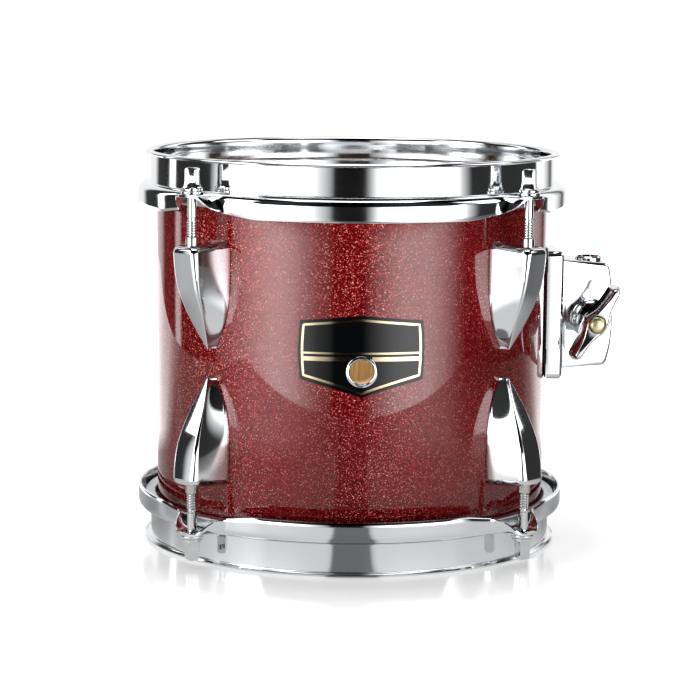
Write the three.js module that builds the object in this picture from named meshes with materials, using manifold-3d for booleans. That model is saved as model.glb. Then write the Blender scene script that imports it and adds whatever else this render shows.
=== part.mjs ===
// A small rack tom: an 8 x 7 inch shell with two heads, eight lugs and a clamp for an L-rod.
// Millimetres, +Z up. The origin is on the drum's axis in the plane of the lower rim, the badge
// faces -Y and the rod clamp faces +X. Angles around the drum run from -Y towards +X.
import * as THREE from "three";
import Module from "manifold-3d";
import { mergeVertices } from "three/addons/utils/BufferGeometryUtils.js";

const wasm = await Module();
wasm.setup();

// Overall sizes
const RIM_TO_RIM = 202.5;
const MID_HEIGHT = RIM_TO_RIM / 2;
const SHELL_HALF = 89;
const ROUND_STEPS = 48;

// Shell, covering and heads
const SHELL_INNER = 94.4;
const SHELL_OUTER = 100.4;
const WRAP_INNER = 100.6;
const WRAP_OUTER = 101.1;
const WRAP_HALF = 86.5;
const BEARING = { inner: 99.2, outer: 99.6, depth: 4.8, bevel: 0.8 };
const FILM = { thickness: 0.4, gap: 0.12, collar: 101.3, drop: 1.1, skirt: 80.5, edge: 100 };
const FLESH_HOOP = { inner: 102, outer: 107.4, top: 82.85, height: 5.4, chamfer: 1 };

// Counter hoop, folded from sheet; heights are above the drum's middle
const SHEET = 1.6;
const HOOP_WALL = 103.7;
const HOOP_LEDGE = 83.85;
const LIP = { radius: 107, drop: 1.55, curl: 0.8 };
const FOLD_START = 107;
const FOLD_ARC = 5;
const FOLD_SPAN = [5, 17];
const FLANGE = { atRod: 15.4, beside: 10.1, between: 12.42 };
const NARROWING = [2, 14];
const WIDENING = [12, 34];
const ROD_HOLE = 3.2;

// Tension rods, washers, swivel nuts and lugs
const LUG_ANGLES = [-45, 45, 135, -135];
const ROD_CIRCLE = 116.6;
const ROD = { tip: 43.75, threadTop: 73.55, seat: 86.25, collarTop: 88.15, keyTop: 97.65 };
const THREAD_RADIUS = 2.7;
const SHANK_RADIUS = 2.45;
const COLLAR_RADIUS = 5.2;
const KEY = { square: 5.7, turn: 34 };
const WASHER = { outer: 5.8, bore: 2.9, bottom: 84.75, top: 86.15 };
const SWIVEL = { bottom: 45.5, shoulder: 50, neck: 54.4, top: 63.6, body: 3.3, flange: 4.3, bore: 2.8 };
const LUG = { top: 60.6, length: 53.6, base: 101.3, reach: 22.6, edge: 3.9, rim: 3.4, wall: 1.6, mouth: 3.9 };
const LUG_FOOT = { half: 10.4, span: 54.5, power: 4.2, least: 2 };
const LUG_FRONT = { half: 8.3, span: 54.2, power: 2.3, least: 0.5 };
const LUG_SLOPE = { upper: 0.115, added: 0.38, bend: 22.5, softness: 4 };
const LUG_LEAN = { rise: 0.6, fall: 1.9, fade: 25 };

// Badge and vent; heights are above the drum's middle
const BADGE = { inner: 101.25, outer: 101.9, halfWidth: 30.9, shoulder: 24.7, peak: 27.3, hip: -4.2, tip: -13 };
const VENT_BORE = 5.9;
const VENT_TUBE = 6.5;
const VENT_HOLE = 6.85;
const VENT_FLANGE = 7.8;
const VENT_RING = { inner: 6.9, outer: 8.2, back: 92.4, front: 93.8 };

// Rod clamp; heights are above the drum's middle
const PLATE = { halfWidth: 18, bottom: -16.75, top: 50.25, face: 109.5, back: 96, bevel: 1.5, corner: 2.5 };
const GASKET = { inner: 101.3, outer: 102.3, halfWidth: 17.4, inset: 0.6 };
const SEAT_RADIUS = 102.6;
const BLOCK = { root: 108.5, halfWidth: 14.5, draft: 0.098, bevel: 1.6, inset: 1.4, centre: [122, 17] };
const ROD_SOCKET = { r: 124.3, radius: 5.3, boss: 7, bossTop: 46.25 };
const CLAMP_HEIGHT = 14.75;
const EYE = { outer: 9, bore: 5.5, halfHeight: 4 };
const EYE_TRAVEL = 2;
const BOLT_RADIUS = 3.95;
const BOLT_END = 40;
const PAD = { radius: 10.4, face: 14.6 };
const CLAMP_WASHER = { radius: 10, bore: 4.5, thickness: 1.5 };
const WING = { back: 16.4, web: 28.5, front: 38.5, halfSpan: 20.2, halfWidth: 4.9, tip: 1.9, tilt: 59.5 };
const WING_DRAFT = 2.2;
const NUT_BORE = 4.4;
const BACKING = { inner: 92.1, outer: 94.1, halfAngle: 10.5, bottom: -13, top: 46.5 };
const SCREW = { angle: 6, spread: 24, head: 4.5, headTop: 88.8, seat: 91.8, shank: 2.3, end: 111.5 };
const SCREW_HOLE = 2.8;

const rad = THREE.MathUtils.degToRad;

// Finishes
const chrome = { color: 0xd9dcdf, roughness: 0.08, metalness: 1 };
const FINISH = {
  wood: { color: 0xc89a62, roughness: 0.6, metalness: 0 },
  sparkle: { color: 0x8e1420, roughness: 0.3, metalness: 0.4 },
  film: { color: 0xe9ecee, roughness: 0.15, metalness: 0 },
  chrome,
  aluminium: { color: 0xb9bcc0, roughness: 0.35, metalness: 1 },
  brass: { color: 0xc9a95a, roughness: 0.3, metalness: 1 },
  steel: { color: 0x9da1a6, roughness: 0.4, metalness: 1 },
  enamel: { color: 0x101113, roughness: 0.3, metalness: 0 },
  rubber: { color: 0x1c1c1e, roughness: 0.8, metalness: 0 },
};

// ---- solids -------------------------------------------------------------------------------

// Turns every triangle over when a closed mesh encloses a negative volume.
function faceOutward(geometry) {
  const p = geometry.attributes.position;
  const index = geometry.index.array;
  const corner = (i) => new THREE.Vector3().fromBufferAttribute(p, index[i]);
  let volume = 0;
  for (let i = 0; i < index.length; i += 3) {
    volume += corner(i).dot(corner(i + 1).cross(corner(i + 2)));
  }
  if (volume < 0) {
    for (let i = 0; i < index.length; i += 3) {
      [index[i], index[i + 1]] = [index[i + 1], index[i]];
    }
  }
  return geometry;
}

function toSolid(geometry) {
  const bare = geometry.clone();
  bare.deleteAttribute("normal");
  bare.deleteAttribute("uv");
  const merged = faceOutward(mergeVertices(bare, 1e-4));
  const vertProperties = new Float32Array(merged.attributes.position.array);
  const triVerts = new Uint32Array(merged.index.array);
  return new wasm.Manifold(new wasm.Mesh({ numProp: 3, vertProperties, triVerts }));
}

function toGeometry(solid) {
  const mesh = solid.getMesh();
  const geometry = new THREE.BufferGeometry();
  geometry.setAttribute("position", new THREE.BufferAttribute(new Float32Array(mesh.vertProperties), 3));
  geometry.setIndex(new THREE.BufferAttribute(new Uint32Array(mesh.triVerts), 1));
  geometry.computeVertexNormals();
  return geometry;
}

function cut(base, ...tools) {
  let solid = toSolid(base);
  for (const tool of tools) {
    solid = solid.subtract(toSolid(tool));
  }
  return toGeometry(solid);
}

function join(...parts) {
  let solid = toSolid(parts[0]);
  for (const part of parts.slice(1)) {
    solid = solid.add(toSolid(part));
  }
  return toGeometry(solid);
}

// Rings of equal length, joined in order; a closed chain has no end caps.
function loft(rings, closed = false) {
  const count = rings[0].length;
  const points = rings.flat();
  const index = [];
  const spans = closed ? rings.length : rings.length - 1;
  for (let i = 0; i < spans; i += 1) {
    const a = i * count;
    const b = ((i + 1) % rings.length) * count;
    for (let j = 0; j < count; j += 1) {
      const k = (j + 1) % count;
      index.push(a + j, b + j, b + k, a + j, b + k, a + k);
    }
  }
  if (!closed) {
    const last = (rings.length - 1) * count;
    for (let j = 1; j < count - 1; j += 1) {
      index.push(0, j, j + 1);
      index.push(last, last + j + 1, last + j);
    }
  }
  const geometry = new THREE.BufferGeometry();
  const positions = new Float32Array(points.flatMap((p) => [p.x, p.y, p.z]));
  geometry.setAttribute("position", new THREE.BufferAttribute(positions, 3));
  geometry.setIndex(index);
  geometry.computeVertexNormals();
  return geometry;
}

// A turned piece about Z from [radius, height] pairs.
function turned(profile, steps) {
  const points = profile.map(([r, z]) => new THREE.Vector2(r, z));
  return new THREE.LatheGeometry(points, steps).rotateX(Math.PI / 2);
}

// A closed ring about Z; the profile returns to its start.
function turnedRing(profile, steps) {
  return turned([...profile, profile[0]], steps);
}

// The same pieces about the outward X axis, from [radius, x] pairs.
function turnedOutward(profile, steps) {
  return turned(profile, steps).rotateY(Math.PI / 2);
}

function rod(radius, from, to, steps) {
  return turned([[0, from], [radius, from], [radius, to], [0, to]], steps);
}

function rodOutward(radius, from, to, steps) {
  return rod(radius, from, to, steps).rotateY(Math.PI / 2);
}

// Lies along -Y, from one distance to a farther one, at the clamp's axis.
function clampAxis(geometry) {
  return geometry.rotateX(Math.PI / 2).translate(ROD_SOCKET.r, 0, CLAMP_HEIGHT);
}

// A curved plate that follows the shell, centred on the outward X axis.
function curvedPlate(inner, outer, bottom, top, halfAngle, steps) {
  const rings = [];
  for (let i = 0; i <= steps; i += 1) {
    const angle = rad(-halfAngle + (2 * halfAngle * i) / steps);
    const at = (r, z) => new THREE.Vector3(r * Math.cos(angle), r * Math.sin(angle), z);
    rings.push([at(inner, bottom), at(inner, top), at(outer, top), at(outer, bottom)]);
  }
  return loft(rings);
}

// ---- the tree -----------------------------------------------------------------------------

const group = new THREE.Group();
const middle = new THREE.Group();
middle.position.z = MID_HEIGHT;
group.add(middle);

function addPiece(parent, name, geometry, finish) {
  const mesh = new THREE.Mesh(faceOutward(geometry), new THREE.MeshStandardMaterial(finish));
  mesh.name = name;
  parent.add(mesh);
}

// A holder whose X axis points outward at an angle; a flipped one serves the lower head.
function station(angle, flipped = false) {
  const turn = new THREE.Group();
  turn.rotation.z = rad(angle - 90);
  const side = new THREE.Group();
  side.rotation.x = flipped ? Math.PI : 0;
  turn.add(side);
  middle.add(turn);
  return side;
}

// ---- shell, covering, badge and vent --------------------------------------------------------

function facing(geometry, angle) {
  return geometry.rotateZ(rad(angle - 90));
}

function ventCutter() {
  return facing(rodOutward(VENT_HOLE, 90, 106, 16), 0);
}

function screwCutters() {
  const cutters = [];
  for (const side of [-1, 1]) {
    for (const level of [-1, 1]) {
      const hole = rodOutward(SCREW_HOLE, 85, SCREW.end + 1.2, 8);
      hole.translate(0, 0, screwHeight(level));
      cutters.push(facing(hole, 90 + side * SCREW.angle));
    }
  }
  return cutters;
}

function screwHeight(level) {
  return (PLATE.bottom + PLATE.top) / 2 + level * SCREW.spread;
}

function shellGeometry() {
  const half = [
    [SHELL_INNER, SHELL_HALF - BEARING.depth],
    [BEARING.inner, SHELL_HALF],
    [BEARING.outer, SHELL_HALF],
    [SHELL_OUTER, SHELL_HALF - BEARING.bevel],
  ];
  const lower = half.map(([r, z]) => [r, -z]).reverse();
  const tube = turnedRing([...lower, ...half].reverse(), ROUND_STEPS);
  return cut(tube, ventCutter(), ...screwCutters());
}

function wrapGeometry() {
  const profile = [
    [WRAP_INNER, WRAP_HALF],
    [WRAP_OUTER, WRAP_HALF],
    [WRAP_OUTER, -WRAP_HALF],
    [WRAP_INNER, -WRAP_HALF],
  ];
  return cut(turnedRing(profile.reverse(), ROUND_STEPS), ventCutter(), ...screwCutters());
}

// The shield's upper and lower outlines over its width, both peaked at the middle.
function badgeEdges(across) {
  const share = Math.abs(across) / BADGE.halfWidth;
  const top = BADGE.peak + (BADGE.shoulder - BADGE.peak) * share;
  const bottom = BADGE.tip + (BADGE.hip - BADGE.tip) * share ** 0.85;
  return { top, bottom };
}

function badgeGeometry() {
  const columns = 20;
  const rings = [];
  for (let i = 0; i <= columns; i += 1) {
    const across = BADGE.halfWidth * (-1 + (2 * i) / columns);
    const { top, bottom } = badgeEdges(across);
    const angle = across / BADGE.outer;
    const at = (r, z) => new THREE.Vector3(r * Math.cos(angle), r * Math.sin(angle), z);
    rings.push([at(BADGE.inner, bottom), at(BADGE.inner, top), at(BADGE.outer, top), at(BADGE.outer, bottom)]);
  }
  return cut(loft(rings), rodOutward(VENT_HOLE, 95, 106, 16));
}

function ventTubeGeometry() {
  const profile = [
    [VENT_BORE, 92],
    [VENT_TUBE, 92],
    [VENT_TUBE, 102],
    [VENT_FLANGE, 102],
    [VENT_FLANGE, 102.8],
    [VENT_FLANGE - 0.7, 103.4],
    [VENT_BORE + 0.5, 103.4],
    [VENT_BORE, 102.8],
  ];
  return turnedOutward([...profile, profile[0]], 16);
}

function ventRingGeometry() {
  const { inner, outer, back, front } = VENT_RING;
  const profile = [[inner, back], [outer, back], [outer, front], [inner, front]];
  return turnedOutward([...profile, profile[0]], 16);
}

function addShell() {
  addPiece(middle, "shell", shellGeometry(), FINISH.wood);
  addPiece(middle, "shell_wrap", wrapGeometry(), FINISH.sparkle);
  const front = station(0);
  addPiece(front, "badge", badgeGeometry(), FINISH.enamel);
  addPiece(front, "vent_grommet", ventTubeGeometry(), FINISH.chrome);
  addPiece(front, "vent_backing_ring", ventRingGeometry(), FINISH.steel);
}

// ---- heads and hoops ------------------------------------------------------------------------

function headFilmGeometry() {
  const { thickness, gap, collar, drop, skirt, edge } = FILM;
  const under = SHELL_HALF + gap;
  const over = under + thickness;
  const outside = collar + thickness + 0.05;
  return turned([
    [0, under],
    [edge, under],
    [collar, SHELL_HALF - drop],
    [collar, skirt],
    [outside, skirt],
    [outside, SHELL_HALF - drop / 2],
    [edge + thickness, over],
    [0, over],
  ], ROUND_STEPS);
}

function fleshHoopGeometry() {
  const { inner, outer, top, height, chamfer } = FLESH_HOOP;
  return turnedRing([
    [inner, top - height],
    [outer, top - height],
    [outer, top - chamfer],
    [outer - chamfer, top],
    [inner, top],
  ], ROUND_STEPS);
}

// Eases from 0 to 1 as a distance along the hoop goes from one limit to the other.
function eased(arc, [from, to]) {
  return THREE.MathUtils.smoothstep(Math.abs(arc), from, to);
}

// The flange is flat at a rod and folded down between rods; it is widest at the rod.
function foldAngle(arc) {
  return (Math.PI / 2) * eased(arc, FOLD_SPAN);
}

function flangeLength(arc) {
  const { atRod, beside, between } = FLANGE;
  return atRod + (beside - atRod) * eased(arc, NARROWING) + (between - beside) * eased(arc, WIDENING);
}

function hoopMidline(arc) {
  const fold = Math.max(foldAngle(arc), 1e-3);
  const rim = MID_HEIGHT - SHEET / 2;
  const line = [
    [LIP.radius, MID_HEIGHT - LIP.drop],
    [LIP.radius - LIP.curl, rim],
    [HOOP_WALL, rim],
    [HOOP_WALL, HOOP_LEDGE],
    [FOLD_START, HOOP_LEDGE],
  ];
  for (const share of [0.5, 1]) {
    const turn = fold * share;
    const r = FOLD_START + (FOLD_ARC * Math.sin(turn)) / fold;
    const z = HOOP_LEDGE - (FOLD_ARC * (1 - Math.cos(turn))) / fold;
    line.push([r, z]);
  }
  const [r, z] = line.at(-1);
  const flange = flangeLength(arc) - FOLD_ARC;
  line.push([r + flange * Math.cos(fold), z - flange * Math.sin(fold)]);
  return line;
}

// Both faces of a sheet from its midline, mitred at each bend.
function sheetSection(line, thickness) {
  const left = [];
  const right = [];
  line.forEach(([x, y], i) => {
    const before = line[Math.max(i - 1, 0)];
    const after = line[Math.min(i + 1, line.length - 1)];
    const a = new THREE.Vector2(x - before[0], y - before[1]);
    const b = new THREE.Vector2(after[0] - x, after[1] - y);
    if (i === 0) {
      a.copy(b);
    }
    if (i === line.length - 1) {
      b.copy(a);
    }
    a.normalize();
    b.normalize();
    const along = a.clone().add(b).normalize();
    const reach = thickness / 2 / Math.max(along.dot(a), 0.3);
    left.push([x - along.y * reach, y + along.x * reach]);
    right.push([x + along.y * reach, y - along.x * reach]);
  });
  return [...left, ...right.reverse()];
}

function hoopAngles() {
  const angles = [];
  const earArcs = [-34, -23, -16, -12, -8.5, -5, 5, 8.5, 12, 16, 23, 34];
  const plainSteps = 5;
  const span = (earArcs.at(-1) / FOLD_START) * (180 / Math.PI);
  for (const ear of [...LUG_ANGLES].sort((a, b) => a - b)) {
    earArcs.forEach((arc) => angles.push(ear + (arc / earArcs.at(-1)) * span));
    for (let i = 1; i < plainSteps; i += 1) {
      angles.push(ear + span + ((90 - 2 * span) * i) / plainSteps);
    }
  }
  return angles;
}

// Distance along the hoop from the nearest rod.
function rodArc(angle) {
  const offset = ((((angle - 45) % 90) + 135) % 90) - 45;
  return rad(offset) * FOLD_START;
}

function hoopGeometry() {
  const rings = hoopAngles().map((angle) => {
    const section = sheetSection(hoopMidline(rodArc(angle)), SHEET);
    const turn = rad(angle - 90);
    return section.map(([r, z]) => new THREE.Vector3(r * Math.cos(turn), r * Math.sin(turn), z));
  });
  const holes = LUG_ANGLES.map((angle) => facing(rod(ROD_HOLE, 70, 95, 12).translate(ROD_CIRCLE, 0, 0), angle));
  return cut(loft(rings, true), ...holes);
}

function addHead(side, flipped) {
  const holder = station(90, flipped);
  addPiece(holder, `${side}_head_film`, headFilmGeometry(), FINISH.film);
  addPiece(holder, `${side}_flesh_hoop`, fleshHoopGeometry(), FINISH.aluminium);
  addPiece(holder, `${side}_hoop`, hoopGeometry(), FINISH.chrome);
}

// ---- lugs and tension rods ------------------------------------------------------------------

// How far the casing stands off the shell: an even slope that steepens below the middle.
function lugDepth(drop) {
  const { upper, added, bend, softness } = LUG_SLOPE;
  return LUG.reach - upper * drop - added * softness * Math.log(1 + Math.exp((drop - bend) / softness));
}

function halfWidth({ half, span, power, least }, drop) {
  return Math.max(half * (1 - (drop / span) ** power), least);
}

// One level of the casing; a wall leaves room inside and an inset rounds the top.
function lugRing(drop, wall, inset = 0) {
  const front = Math.max(halfWidth(LUG_FRONT, drop) - wall - inset, wall > 0 ? 0.8 : 0.3);
  const foot = Math.max(halfWidth(LUG_FOOT, drop) - wall - inset, front);
  const depth = lugDepth(drop) - wall - inset;
  const edge = Math.min(LUG.edge * Math.max(1 - drop / 44, 0.1), front * 0.9);
  const bend = LUG.base + (depth - edge) / 2;
  const side = [
    [LUG.base - 2 - wall, foot],
    [bend, front + (foot - front) * 0.44],
    [LUG.base + depth - edge, front],
    [LUG.base + depth - 0.3 * edge, front - 0.3 * edge],
    [LUG.base + depth, front - edge],
  ];
  const outline = [...side, ...side.map(([x, y]) => [x, -y]).reverse()];
  const fade = Math.max(1 - drop / LUG_LEAN.fade, 0);
  return outline.map(([x, y]) => {
    const share = THREE.MathUtils.clamp((x - LUG.base) / depth, 0, 1);
    const lean = LUG_LEAN.rise - LUG_LEAN.fall * share;
    return new THREE.Vector3(x, y, LUG.top - drop + lean * fade);
  });
}

function lugGeometry() {
  const { top, rim, wall, mouth, base } = LUG;
  const rounded = [0, 0.3 * rim].map((drop) => [drop, rim - Math.sqrt(rim ** 2 - (rim - drop) ** 2)]);
  const plain = [rim, 12, 20, 27, 34, 41, 47, 51.5, LUG.length].map((drop) => [drop, 0]);
  const casing = loft([...rounded, ...plain].map(([drop, inset]) => lugRing(drop, 0, inset)));
  const hollow = loft([3, 12, 20, 28, 36, 42].map((drop) => lugRing(drop, wall)));
  const hole = rod(mouth, top - 8, top + 4, 16).translate(ROD_CIRCLE, 0, 0);
  return cut(casing, hollow, hole, rod(base, 0, top + 5, ROUND_STEPS));
}

function swivelNutGeometry() {
  const { bottom, shoulder, neck, top, body, flange, bore } = SWIVEL;
  return turnedRing([
    [bore, bottom],
    [body, bottom],
    [body, shoulder],
    [flange, shoulder],
    [flange, neck],
    [body, neck],
    [body, top],
    [bore, top],
  ], 16).translate(ROD_CIRCLE, 0, 0);
}

function tensionRodGeometry() {
  const { tip, threadTop, seat, collarTop, keyTop } = ROD;
  const body = turned([
    [0, tip],
    [THREAD_RADIUS - 0.8, tip],
    [THREAD_RADIUS, tip + 1],
    [THREAD_RADIUS, threadTop],
    [SHANK_RADIUS, threadTop],
    [SHANK_RADIUS, seat],
    [COLLAR_RADIUS, seat],
    [COLLAR_RADIUS, collarTop],
    [0, collarTop],
  ], 12);
  const key = new THREE.BoxGeometry(KEY.square, KEY.square, keyTop - collarTop + 0.5);
  key.rotateZ(rad(KEY.turn)).translate(0, 0, (keyTop + collarTop - 0.5) / 2);
  return join(body, key).translate(ROD_CIRCLE, 0, 0);
}

function rodWasherGeometry() {
  const { outer, bore, bottom, top } = WASHER;
  const profile = [[bore, bottom], [outer, bottom], [outer, top], [bore, top]];
  return turnedRing(profile, 12).translate(ROD_CIRCLE, 0, 0);
}

function addTuning(side, flipped) {
  LUG_ANGLES.forEach((angle, i) => {
    const holder = station(angle, flipped);
    const number = i + 1;
    addPiece(holder, `${side}_lug_${number}`, lugGeometry(), FINISH.chrome);
    addPiece(holder, `${side}_swivel_nut_${number}`, swivelNutGeometry(), FINISH.steel);
    addPiece(holder, `${side}_tension_rod_${number}`, tensionRodGeometry(), FINISH.chrome);
    addPiece(holder, `${side}_rod_washer_${number}`, rodWasherGeometry(), FINISH.chrome);
  });
}

// ---- rod clamp ------------------------------------------------------------------------------

function roundedRectangle(halfWidth, bottom, top, corner) {
  const shape = new THREE.Shape();
  shape.moveTo(-halfWidth + corner, bottom);
  shape.lineTo(halfWidth - corner, bottom);
  shape.absarc(halfWidth - corner, bottom + corner, corner, -Math.PI / 2, 0);
  shape.lineTo(halfWidth, top - corner);
  shape.absarc(halfWidth - corner, top - corner, corner, 0, Math.PI / 2);
  shape.lineTo(-halfWidth + corner, top);
  shape.absarc(-halfWidth + corner, top - corner, corner, Math.PI / 2, Math.PI);
  shape.lineTo(-halfWidth, bottom + corner);
  shape.absarc(-halfWidth + corner, bottom + corner, corner, Math.PI, Math.PI * 1.5);
  return shape;
}

function clampPlateGeometry() {
  const { bottom, top, face, back, bevel, corner } = PLATE;
  const outline = roundedRectangle(PLATE.halfWidth - bevel, bottom + bevel, top - bevel, corner);
  const slab = new THREE.ExtrudeGeometry(outline, {
    depth: face - back - 2 * bevel,
    bevelThickness: bevel,
    bevelSize: bevel,
    bevelSegments: 1,
    curveSegments: 2,
  });
  slab.translate(0, 0, back + bevel);
  slab.rotateX(Math.PI / 2).rotateZ(Math.PI / 2);
  return cut(slab, rod(SEAT_RADIUS, -60, 60, ROUND_STEPS));
}

// The block's side view as [distance from the drum's axis, height].
const BLOCK_OUTLINE = [
  [BLOCK.root, -11.75],
  [131.6, -9.9],
  [133, -8.4],
  [135.2, 0],
  [136, 9],
  [136, 21],
  [135.2, 33],
  [133.9, 41.6],
  [132.4, 43.4],
  [BLOCK.root, 45.75],
];

function clampBlockGeometry() {
  const ring = (side, level) => BLOCK_OUTLINE.map(([r, z]) => {
    const half = BLOCK.halfWidth - (r - PLATE.face) * BLOCK.draft;
    const shrink = level === 0 ? 0 : BLOCK.inset;
    const x = r === BLOCK.root ? r : r - Math.sign(r - BLOCK.centre[0]) * shrink;
    const y = side * (half - (1 - level) * BLOCK.bevel);
    return new THREE.Vector3(x, y, z - Math.sign(z - BLOCK.centre[1]) * shrink);
  });
  return loft([ring(1, 1), ring(1, 0), ring(-1, 0), ring(-1, 1)]);
}

function clampBodyGeometry() {
  const { r, radius, boss, bossTop } = ROD_SOCKET;
  const socketBoss = rod(boss, bossTop - 8, bossTop, 20).translate(r, 0, 0);
  const pad = clampAxis(rod(PAD.radius, 8, PAD.face, 20));
  const body = join(clampPlateGeometry(), clampBlockGeometry(), socketBoss, pad);
  const socket = rod(radius, -30, 60, 16).translate(r, 0, 0);
  const bolt = clampAxis(rod(BOLT_RADIUS + 0.5, 0, 30, 16));
  const pocketRadius = EYE.outer + 0.6;
  const pocketDepth = EYE.halfHeight + 0.5;
  const pockets = [0, -EYE_TRAVEL - 0.4].map((shift) =>
    rod(pocketRadius, CLAMP_HEIGHT - pocketDepth, CLAMP_HEIGHT + pocketDepth, 16).translate(r, shift, 0));
  return cut(body, socket, bolt, ...pockets, ...screwCutters());
}

function eyeBoltGeometry() {
  const { outer, bore, halfHeight } = EYE;
  const eye = turnedRing([[bore, -halfHeight], [outer, -halfHeight], [outer, halfHeight], [bore, halfHeight]], 16);
  eye.translate(ROD_SOCKET.r, 0, CLAMP_HEIGHT);
  const shank = turned([
    [0, 7.4],
    [BOLT_RADIUS, 7.4],
    [BOLT_RADIUS, BOLT_END - 1],
    [BOLT_RADIUS - 1, BOLT_END],
    [0, BOLT_END],
  ], 16);
  return join(eye, clampAxis(shank));
}

function clampWasherGeometry() {
  const { radius, bore, thickness } = CLAMP_WASHER;
  const from = PAD.face + 0.1;
  const profile = [[bore, from], [radius, from], [radius, from + thickness], [bore, from + thickness]];
  return clampAxis(turnedRing(profile, 20));
}

function wingOutline(grow) {
  const { halfSpan, halfWidth, tip } = WING;
  const shape = new THREE.Shape();
  const reach = halfSpan - tip;
  const side = tip + grow;
  shape.moveTo(reach, -side);
  shape.absarc(reach, 0, side, -Math.PI / 2, Math.PI / 2);
  shape.quadraticCurveTo(reach * 0.45, side + 0.3, 4.5, halfWidth + grow - 0.4);
  shape.quadraticCurveTo(0, halfWidth + grow + 0.7, -4.5, halfWidth + grow - 0.4);
  shape.quadraticCurveTo(-reach * 0.45, side + 0.3, -reach, side);
  shape.absarc(-reach, 0, side, Math.PI / 2, Math.PI * 1.5);
  shape.quadraticCurveTo(-reach * 0.45, -side - 0.3, -4.5, -halfWidth - grow + 0.4);
  shape.quadraticCurveTo(0, -halfWidth - grow - 0.7, 4.5, -halfWidth - grow + 0.4);
  shape.quadraticCurveTo(reach * 0.45, -side - 0.3, reach, -side);
  return shape.getPoints(3).slice(0, -1);
}

function wingNutGeometry() {
  const levels = [[WING.front, 0], [WING.web, WING_DRAFT]];
  const wings = loft(levels.map(([depth, grow]) =>
    wingOutline(grow).map((p) => new THREE.Vector3(p.x, p.y, depth))).reverse());
  wings.rotateZ(rad(WING.tilt));
  const hub = turned([
    [0, WING.back],
    [10, WING.back],
    [10, WING.back + 1.4],
    [8.2, WING.back + 4],
    [7, WING.web - 2],
    [7, WING.web + 2],
    [0, WING.web + 2],
  ], 20);
  return clampAxis(cut(join(hub, wings), rod(NUT_BORE, 10, 45, 16)));
}

function clampScrewGeometry() {
  const { head, headTop, seat, shank, end } = SCREW;
  return turnedOutward([
    [0, headTop],
    [head - 1, headTop],
    [head, headTop + 1],
    [head, seat],
    [shank, seat],
    [shank, end],
    [0, end],
  ], 10);
}

function addClamp() {
  const side = station(90);
  const gasketAngle = (GASKET.halfWidth / GASKET.outer) * (180 / Math.PI);
  const gasketSpan = [PLATE.bottom + GASKET.inset, PLATE.top - GASKET.inset];
  const gasket = curvedPlate(GASKET.inner, GASKET.outer, ...gasketSpan, gasketAngle, 10);
  const { inner, outer, bottom, top, halfAngle } = BACKING;
  const backing = curvedPlate(inner, outer, bottom, top, halfAngle, 8);
  addPiece(side, "clamp_gasket", cut(gasket, ...screwCutters()), FINISH.rubber);
  addPiece(side, "clamp_backing_plate", cut(backing, ...screwCutters()), FINISH.steel);
  addPiece(side, "rod_clamp_body", clampBodyGeometry(), FINISH.chrome);
  addPiece(side, "clamp_eye_bolt", eyeBoltGeometry(), FINISH.brass);
  addPiece(side, "clamp_washer", clampWasherGeometry(), FINISH.chrome);
  addPiece(side, "clamp_wing_nut", wingNutGeometry(), FINISH.chrome);
  let number = 1;
  for (const turn of [-SCREW.angle, SCREW.angle]) {
    for (const level of [-1, 1]) {
      const screw = clampScrewGeometry().translate(0, 0, screwHeight(level));
      addPiece(station(90 + turn), `clamp_screw_${number}`, screw, FINISH.steel);
      number += 1;
    }
  }
}

addShell();
addHead("batter", false);
addHead("resonant", true);
addTuning("batter", false);
addTuning("resonant", true);
addClamp();

export default group;
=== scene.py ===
import math
import bpy
import bmesh
from mathutils import Matrix, Vector


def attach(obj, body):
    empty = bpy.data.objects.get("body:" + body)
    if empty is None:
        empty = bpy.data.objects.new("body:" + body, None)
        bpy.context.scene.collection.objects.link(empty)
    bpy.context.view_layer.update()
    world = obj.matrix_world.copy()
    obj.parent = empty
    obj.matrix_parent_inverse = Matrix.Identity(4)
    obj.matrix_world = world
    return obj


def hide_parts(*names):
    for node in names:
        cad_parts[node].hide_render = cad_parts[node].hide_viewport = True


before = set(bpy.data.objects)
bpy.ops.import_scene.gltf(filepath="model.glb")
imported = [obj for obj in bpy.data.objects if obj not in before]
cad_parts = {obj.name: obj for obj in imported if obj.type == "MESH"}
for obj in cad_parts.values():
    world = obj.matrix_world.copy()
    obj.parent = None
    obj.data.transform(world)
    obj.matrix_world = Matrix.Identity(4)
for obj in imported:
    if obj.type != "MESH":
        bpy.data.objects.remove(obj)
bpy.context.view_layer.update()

# A small rack tom on a white table. Lengths are typed in millimetres and turned to metres by mm().
# Angles go round the drum from the badge (-Y) towards the clamp (+X).

drum = dict(height=202.5, shellHalf=89.0, lugAngles=(-45, 45, 135, -135), rodCircle=116.6)
midHeight = drum["height"] / 2


def mm(value):
    return value / 1000


def hexColour(text):
    # sRGB hex to the linear values that the shaders take
    channels = [int(text[i:i + 2], 16) / 255 for i in (0, 2, 4)]
    linear = [c / 12.92 if c <= 0.04045 else ((c + 0.055) / 1.055) ** 2.4 for c in channels]
    return (*linear, 1)


def addNode(tree, kind, settings=None, links=None):
    node = tree.nodes.new(kind)
    for name, value in (settings or {}).items():
        if isinstance(name, int) or name in node.inputs:
            node.inputs[name].default_value = value
        else:
            setattr(node, name, value)
    for name, source in (links or {}).items():
        tree.links.new(source, node.inputs[name])
    return node


def newMaterial(name):
    material = bpy.data.materials.new(name)
    material.use_nodes = True
    tree = material.node_tree
    shader = tree.nodes["Principled BSDF"]
    return material, tree, shader


def objectMillimetres(tree, scale=(1, 1, 1)):
    # object coordinates in millimetres, so every pattern has a real size
    coords = addNode(tree, "ShaderNodeTexCoord")
    size = tuple(1000 * s for s in scale)
    mapping = addNode(tree, "ShaderNodeMapping", {"Scale": size}, {"Vector": coords.outputs["Object"]})
    return mapping.outputs["Vector"]


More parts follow.
